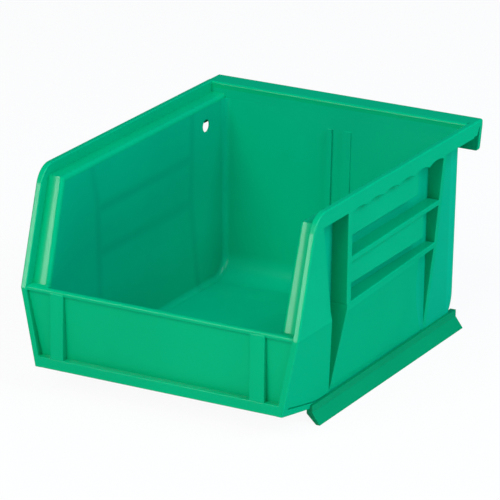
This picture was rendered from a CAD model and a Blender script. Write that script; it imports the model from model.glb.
import math

import bpy
from mathutils import Matrix, Vector

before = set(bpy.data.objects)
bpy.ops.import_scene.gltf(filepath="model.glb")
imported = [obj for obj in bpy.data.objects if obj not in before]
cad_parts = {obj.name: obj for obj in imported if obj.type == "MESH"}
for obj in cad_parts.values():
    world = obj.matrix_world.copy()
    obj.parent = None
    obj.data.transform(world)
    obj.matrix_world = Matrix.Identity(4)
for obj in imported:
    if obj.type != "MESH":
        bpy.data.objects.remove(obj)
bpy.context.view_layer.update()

scene = bpy.context.scene
scene.view_settings.view_transform = "Standard"

MM = 0.001

# ---- camera, angles in degrees ------------------------------------------
AZIMUTH = 28.285           # round from the front towards the right side
ELEVATION = 19.088
ROLL = 0.773
SENSOR = 36.0
LENS = 294.96              # millimetres, a long lens from 1.4 m
DISTANCE = 1.3972
TARGET = Vector((0.002247, -0.008311, 0.041537))
CLIP = (0.05, 20.0)

# ---- light --------------------------------------------------------------
LIGHT_CENTRE = Vector((0, 0, 0.04))
LIGHT_DISTANCE = 1.3
NEUTRAL = (1.0, 1.0, 0.94)
COOL = (0.62, 0.775, 0.97)
LIGHTS = [                 # name, azimuth, elevation, size, power, colour, more than highlights
    ("front_key", -4, 40, (0.8, 0.8), 14.6, NEUTRAL, True),
    ("side_light", 90, 43, (0.7, 0.7), 14.7, COOL, True),
    ("side_low", 98, 8, (0.7, 0.5), 4.9, COOL, True),
    ("glint", -27, 11, (0.20, 0.20), 4.2, NEUTRAL, False),
]
FILL_COLOUR = (0.1, 0.45, 1.0, 1)
FILL_STRENGTH = 0.16
WHITE = (1, 1, 1, 1)
FLOOR_SIZE = 6
FLOOR_COLOUR = (0.8, 0.8, 0.8, 1)
FLOOR_MIRRORED = (0.0, 0.04, 0.03, 1)
SHADOW_SHARE = 0.06        # how much of the floor's own shading the camera sees

# ---- colours ------------------------------------------------------------
GREEN = (0.0, 0.42, 0.175)
TUB_GREEN = (0.0, 0.44, 0.222)
SIDE_GREEN = (0.0, 0.405, 0.197)
FOOT_GREEN = (0.0, 0.31, 0.115)
DEPTH_OF_TINT = 0.93       # darkest pigment against the nominal colour
SINK_TINT = 0.87           # colour in the middle of a sink mark

# ---- surface of the moulding --------------------------------------------
IOR = 1.49
SPECULAR = 0.12
GLOSSY = 0.20              # roughness of the outer faces and the ledges
SATIN = 0.24               # roughness of the tub and its side walls
DULL = 0.34                # roughness of the foot rails
ROUGHNESS_SPREAD = (-0.02, 0.03)
WAVE_SIZE = 24 * MM
DEEP_WAVE = 0.35 * MM
WAVE = 0.25 * MM
SHALLOW_WAVE = 0.15 * MM
GRAIN_SIZE = 0.35 * MM
GRAIN_DEPTH = 0.0015 * MM
GRAIN_RANGE = (0.2, 0.8)
PIGMENT_SIZE = 45 * MM
PIGMENT_RANGE = (0.3, 0.7)
SINK_WIDTH = 3.2 * MM      # half width of a sink mark
SINK_DEPTH = 0.05 * MM
CROWN_DEPTH = 0.25 * MM    # drop of a stacking ledge from its level inner part to the rim
CROWN_FROM = 47.2 * MM     # distance from the middle of the bin where the drop begins
CROWN_TO = 51.2 * MM

# sink marks inside the side walls: each runs straight from one (Y, Z) to the next, in millimetres
SINK_LINES = [
    [(-34.6, 70), (-31.2, 56), (-30.5, 24)],
    [(34.7, 70), (33.2, 38), (37.9, 6)],
    [(-31.2, 54.6), (34.0, 54.6)],
    [(-30.9, 38.6), (33.2, 38.4)],
]

TUB_NODES = ("floor_pan", "nose_ramp", "rear_wall", "rear_divider_guides")
MIX_COLOURS = (6, 7)       # the two colour inputs of a Mix node, and its colour output
MIX_RESULT = 2


# ---- camera and light ---------------------------------------------------
def direction(azimuth, elevation):
    """Unit vector towards an azimuth, counted from the front to the right, and an elevation."""
    a, e = math.radians(azimuth), math.radians(elevation)
    return Vector((math.sin(a) * math.cos(e), -math.cos(a) * math.cos(e), math.sin(e)))


def make_camera():
    """Camera at the viewing angle of the reference, with a slight roll."""
    a, r = math.radians(AZIMUTH), math.radians(ROLL)
    back = direction(AZIMUTH, ELEVATION)
    right = Vector((math.cos(a), math.sin(a), 0))
    up = back.cross(right)
    right_r = math.cos(r) * right + math.sin(r) * up
    up_r = back.cross(right_r)
    data = bpy.data.cameras.new("camera")
    data.lens = LENS
    data.sensor_width = SENSOR
    data.clip_start, data.clip_end = CLIP
    cam = bpy.data.objects.new("camera", data)
    turn = Matrix((right_r, up_r, back)).transposed()
    cam.matrix_world = Matrix.Translation(TARGET + back * DISTANCE) @ turn.to_4x4()
    scene.collection.objects.link(cam)
    scene.camera = cam


def make_world():
    """White to the camera, and a dim bluish fill for the object."""
    world = bpy.data.worlds.new("studio")
    world.use_nodes = True
    nodes, links = world.node_tree.nodes, world.node_tree.links
    fill = nodes["Background"]
    fill.inputs["Color"].default_value = FILL_COLOUR
    fill.inputs["Strength"].default_value = FILL_STRENGTH
    white = nodes.new("ShaderNodeBackground")
    white.inputs["Color"].default_value = WHITE
    rays = nodes.new("ShaderNodeLightPath")
    mix = nodes.new("ShaderNodeMixShader")
    links.new(rays.outputs["Is Camera Ray"], mix.inputs["Fac"])
    links.new(fill.outputs[0], mix.inputs[1])
    links.new(white.outputs[0], mix.inputs[2])
    links.new(mix.outputs[0], nodes["World Output"].inputs["Surface"])
    scene.world = world


def softbox(name, azimuth, elevation, size, power, colour, diffuse):
    """Rectangular area light that faces the object from a direction."""
    data = bpy.data.lights.new(name, "AREA")
    data.shape = "RECTANGLE"
    data.size, data.size_y = size
    data.energy = power
    data.color = colour
    light = bpy.data.objects.new(name, data)
    towards = direction(azimuth, elevation)
    light.location = LIGHT_CENTRE + towards * LIGHT_DISTANCE
    light.rotation_mode = "QUATERNION"
    light.rotation_quaternion = towards.to_track_quat("Z", "Y")
    light.visible_diffuse = diffuse
    scene.collection.objects.link(light)


def make_floor():
    """Pale floor that shows a faint contact shadow and stays dark in reflections."""
    bpy.ops.mesh.primitive_plane_add(size=FLOOR_SIZE, location=(0, 0, 0))
    floor = bpy.context.object
    floor.name = "studio_floor"
    material = bpy.data.materials.new("pale_floor")
    material.use_nodes = True
    nodes, links = material.node_tree.nodes, material.node_tree.links
    nodes.remove(nodes["Principled BSDF"])
    paper = nodes.new("ShaderNodeBsdfDiffuse")
    paper.inputs["Color"].default_value = FLOOR_COLOUR
    glow = nodes.new("ShaderNodeEmission")
    seen = nodes.new("ShaderNodeMixShader")
    seen.inputs["Fac"].default_value = SHADOW_SHARE
    links.new(glow.outputs[0], seen.inputs[1])
    links.new(paper.outputs[0], seen.inputs[2])
    dark = nodes.new("ShaderNodeEmission")
    dark.inputs["Color"].default_value = FLOOR_MIRRORED
    rays = nodes.new("ShaderNodeLightPath")
    lit = nodes.new("ShaderNodeMixShader")
    links.new(rays.outputs["Is Glossy Ray"], lit.inputs["Fac"])
    links.new(paper.outputs[0], lit.inputs[1])
    links.new(dark.outputs[0], lit.inputs[2])
    final = nodes.new("ShaderNodeMixShader")
    links.new(rays.outputs["Is Camera Ray"], final.inputs["Fac"])
    links.new(lit.outputs[0], final.inputs[1])
    links.new(seen.outputs[0], final.inputs[2])
    links.new(final.outputs[0], nodes["Material Output"].inputs["Surface"])
    floor.data.materials.append(material)


# ---- plastic ------------------------------------------------------------
class Recipe:
    """Small helper that adds nodes to one material."""

    def __init__(self, name):
        self.material = bpy.data.materials.new(name)
        self.material.use_nodes = True
        self.tree = self.material.node_tree
        self.shader = self.tree.nodes["Principled BSDF"]
        self.place = self.add("ShaderNodeTexCoord").outputs["Object"]

    def add(self, kind):
        return self.tree.nodes.new(kind)

    def link(self, source, target):
        self.tree.links.new(source, target)

    def noise(self, size, detail):
        """Noise from 0 to 1 with features of about this size in metres."""
        scale = self.add("ShaderNodeMapping")
        scale.inputs["Scale"].default_value = [1 / size] * 3
        self.link(self.place, scale.inputs["Vector"])
        noise = self.add("ShaderNodeTexNoise")
        noise.inputs["Scale"].default_value = 1.0
        noise.inputs["Detail"].default_value = detail
        self.link(scale.outputs[0], noise.inputs["Vector"])
        return noise.outputs["Fac"]

    def remap(self, value, low, high, to_low, to_high):
        """Smooth change from to_low to to_high as the value goes from low to high."""
        node = self.add("ShaderNodeMapRange")
        node.interpolation_type = "SMOOTHSTEP"
        for socket, number in (("From Min", low), ("From Max", high), ("To Min", to_low),
                               ("To Max", to_high)):
            node.inputs[socket].default_value = number
        self.link(value, node.inputs["Value"])
        return node.outputs["Result"]

    def math(self, operation, a, b=0.0):
        """One arithmetic step on sockets or numbers."""
        node = self.add("ShaderNodeMath")
        node.operation = operation
        for socket, term in zip(node.inputs, (a, b)):
            if isinstance(term, (int, float)):
                socket.default_value = term
            else:
                self.link(term, socket)
        return node.outputs[0]

    def mix_colour(self, factor, first, second):
        """The first colour where factor is 0, the second where it is 1."""
        node = self.add("ShaderNodeMix")
        node.data_type = "RGBA"
        self.link(factor, node.inputs["Factor"])
        for index, colour in zip(MIX_COLOURS, (first, second)):
            if isinstance(colour, tuple):
                node.inputs[index].default_value = (*colour, 1)
            else:
                self.link(colour, node.inputs[index])
        return node.outputs[MIX_RESULT]

    def bump(self, height, depth, below=None):
        """Bump of this depth in metres, laid over an earlier one."""
        node = self.add("ShaderNodeBump")
        node.inputs["Strength"].default_value = 1.0
        node.inputs["Distance"].default_value = depth
        self.link(height, node.inputs["Height"])
        if below is not None:
            self.link(below, node.inputs["Normal"])
        return node.outputs["Normal"]

    def axes(self):
        """X, Y and Z of the shaded point in the part's own frame."""
        split = self.add("ShaderNodeSeparateXYZ")
        self.link(self.place, split.inputs[0])
        return split.outputs


def moulded_plastic(name, colour, rough, wave_depth, marks=None, crown=None):
    """Coloured polypropylene with slight waviness, mould grain and uneven pigment."""
    r = Recipe(name)
    wave = r.noise(WAVE_SIZE, 1.0)
    grain = r.noise(GRAIN_SIZE, 3.0)
    pigment = r.remap(r.noise(PIGMENT_SIZE, 3.0), *PIGMENT_RANGE, 0.0, 1.0)
    deep = tuple(DEPTH_OF_TINT * c for c in colour)
    tint = r.mix_colour(pigment, deep, colour)
    normal = r.bump(grain, GRAIN_DEPTH, r.bump(wave, wave_depth))
    if marks is not None:
        sink = marks(r)
        tint = r.mix_colour(sink, tint, tuple(SINK_TINT * c for c in colour))
        normal = r.bump(r.math("SUBTRACT", 1.0, sink), SINK_DEPTH, normal)
    if crown is not None:
        normal = r.bump(crown(r), CROWN_DEPTH, normal)
    smooth, coarse = (rough + spread for spread in ROUGHNESS_SPREAD)
    r.link(tint, r.shader.inputs["Base Color"])
    r.link(r.remap(grain, *GRAIN_RANGE, smooth, coarse), r.shader.inputs["Roughness"])
    r.link(normal, r.shader.inputs["Normal"])
    r.shader.inputs["IOR"].default_value = IOR
    r.shader.inputs["Specular IOR Level"].default_value = SPECULAR
    return r.material


def ledge_crown(r):
    """Height of a stacking ledge: level inside, dropping away towards the rim."""
    across = r.math("ABSOLUTE", r.axes()["X"])
    return r.remap(across, CROWN_FROM, CROWN_TO, 1.0, 0.0)


def side_sinks(r):
    """Faint sink marks inside the side walls, where the ribs stand on the outside."""
    place = r.axes()
    mask = 0.0
    for points in SINK_LINES:
        for start, end in zip(points, points[1:]):
            mask = r.math("MAXIMUM", segment(r, place["Y"], place["Z"], start, end), mask)
    return mask


def segment(r, y, z, start, end):
    """1 on the straight line from start to end, fading to 0 at SINK_WIDTH from it."""
    along = Vector(end) - Vector(start)
    length = along.length
    along.normalize()
    dy = r.math("SUBTRACT", y, start[0] * MM)
    dz = r.math("SUBTRACT", z, start[1] * MM)
    run = r.math("ADD", r.math("MULTIPLY", dy, along.x), r.math("MULTIPLY", dz, along.y))
    side = r.math("SUBTRACT", r.math("MULTIPLY", dy, along.y), r.math("MULTIPLY", dz, along.x))
    past_end = r.math("MAXIMUM", r.math("SUBTRACT", run, length * MM), r.math("MULTIPLY", run, -1.0))
    gap = r.math("MAXIMUM", r.math("ABSOLUTE", side), past_end)
    return r.remap(gap, 0.0, SINK_WIDTH, 1.0, 0.0)


def finish_name(node):
    """Which of the plastic's finishes a member of the moulding has."""
    if node.endswith("foot_rail"):
        return "foot"
    if node.endswith("side_wall"):
        return "side"
    if node.endswith("stacking_ledge"):
        return "ledge"
    if node in TUB_NODES:
        return "tub"
    return "outer"


# ---- build the scene ----------------------------------------------------
make_camera()
make_world()
for light in LIGHTS:
    softbox(*light)
make_floor()
finishes = {
    "outer": moulded_plastic("green_outer", GREEN, GLOSSY, WAVE),
    "tub": moulded_plastic("green_tub", TUB_GREEN, SATIN, DEEP_WAVE),
    "side": moulded_plastic("green_side_wall", SIDE_GREEN, SATIN, WAVE, marks=side_sinks),
    "ledge": moulded_plastic("green_ledge", GREEN, GLOSSY, WAVE, crown=ledge_crown),
    "foot": moulded_plastic("green_foot", FOOT_GREEN, DULL, SHALLOW_WAVE),
}
for name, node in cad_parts.items():
    node.data.materials.clear()
    node.data.materials.append(finishes[finish_name(name)])
